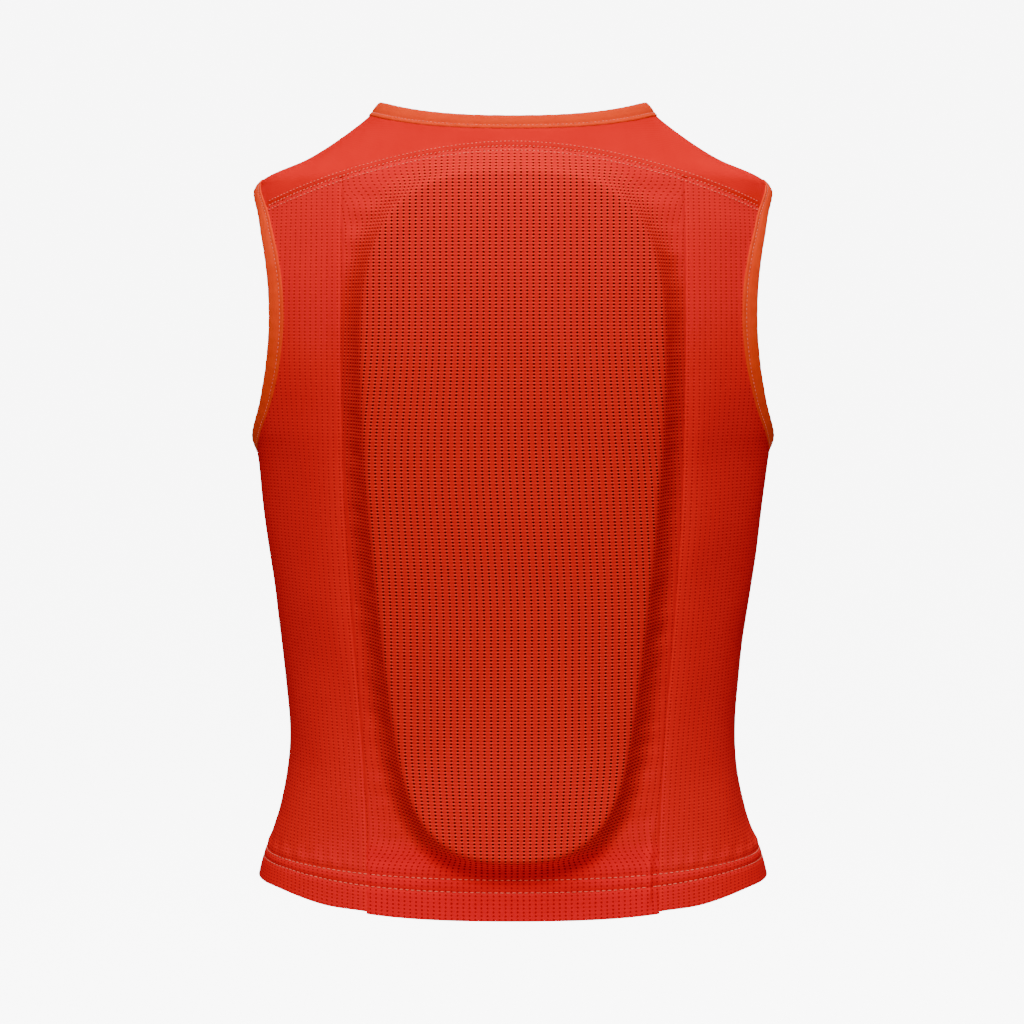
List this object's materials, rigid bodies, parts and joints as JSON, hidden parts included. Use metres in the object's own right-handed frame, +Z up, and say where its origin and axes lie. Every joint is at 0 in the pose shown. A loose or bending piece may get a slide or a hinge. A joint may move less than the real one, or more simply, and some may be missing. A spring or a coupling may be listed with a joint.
{
  "type": "back protector vest",
  "caption": "Blaze orange child's sleeveless mesh vest with a foam back protector in a rear pocket, bound neck and armholes, and a separating front zip.",
  "frame": {"origin": "centre of the hem opening: on the hem's lowest plane, midway between the sides and midway between the plate's back and the zip's front", "axes": "+Z up from the hem to the neck, -Y the way the wearer faces, +X the wearer's left"},
  "size_m": [0.3058, 0.2045, 0.4611],
  "materials": {
    "mesh_cloth": "perforated knit mesh, soft sheen",
    "stretch_jersey": "smooth stretch jersey",
    "binding_cloth": "smooth folded stretch binding",
    "hem_elastic": "ribbed elastic",
    "foam": "matt closed-cell foam",
    "zip_tape": "woven tape",
    "zip_coil": "nylon coil",
    "zip_metal": "satin black lacquer on zinc",
    "hook_and_loop": "matt hook and loop"
  },
  "bodies": {
    "back": {"back_outer_panel": "mesh_cloth", "back_yoke": "stretch_jersey", "neck_binding_back": "binding_cloth", "armhole_binding_back_left": "binding_cloth", "armhole_binding_back_right": "binding_cloth", "side_panel_left": "mesh_cloth", "side_panel_right": "mesh_cloth", "hem_elastic_back": "hem_elastic", "pocket_lining": "mesh_cloth", "pocket_header": "stretch_jersey", "loop_strip": "hook_and_loop", "protector_outer_foam": "foam", "protector_inner_foam": "foam"},
    "front_left": {"front_panel_left": "mesh_cloth", "front_yoke_left": "stretch_jersey", "neck_binding_left": "binding_cloth", "armhole_binding_front_left": "binding_cloth", "hem_elastic_left": "hem_elastic", "zip_tape_left": "zip_tape", "zip_coil_left": "zip_coil", "zip_top_stop_left": "zip_metal", "zip_insertion_pin": "zip_metal", "chin_guard": "stretch_jersey"},
    "front_right": {"front_panel_right": "mesh_cloth", "front_yoke_right": "stretch_jersey", "neck_binding_right": "binding_cloth", "armhole_binding_front_right": "binding_cloth", "hem_elastic_right": "hem_elastic", "zip_tape_right": "zip_tape", "zip_coil_right": "zip_coil", "zip_top_stop_right": "zip_metal", "zip_retainer_box": "zip_metal", "zip_box_pin": "zip_metal"},
    "slider": {"zip_slider": "zip_metal"},
    "pull": {"zip_pull": "zip_metal"},
    "flap": {"pocket_flap": "stretch_jersey", "hook_strip": "hook_and_loop"}
  },
  "joints": [
    {"name": "front_left_open", "type": "hinge", "parent": "back", "child": "front_left", "pos_m": [0.156, 0, 0], "axis": [0, 0, 1], "range_deg": [0, 60]},
    {"name": "front_right_open", "type": "hinge", "parent": "back", "child": "front_right", "pos_m": [-0.156, 0, 0], "axis": [0, 0, -1], "range_deg": [0, 60]},
    {"name": "zip_slide", "type": "slide", "parent": "front_right", "child": "slider", "axis": [0, -0.0499, -0.9988], "range_m": [0, 0.336]},
    {"name": "pull_swing", "type": "hinge", "parent": "slider", "child": "pull", "pos_m": [0, -0.08412, 0.3577], "axis": [-1, 0, 0], "range_deg": [-1, 160]},
    {"name": "pocket_flap_open", "type": "hinge", "parent": "back", "child": "flap", "pos_m": [0, 0.06996, 0.399], "axis": [-1, 0, 0], "range_deg": [0, 110]}
  ]
}
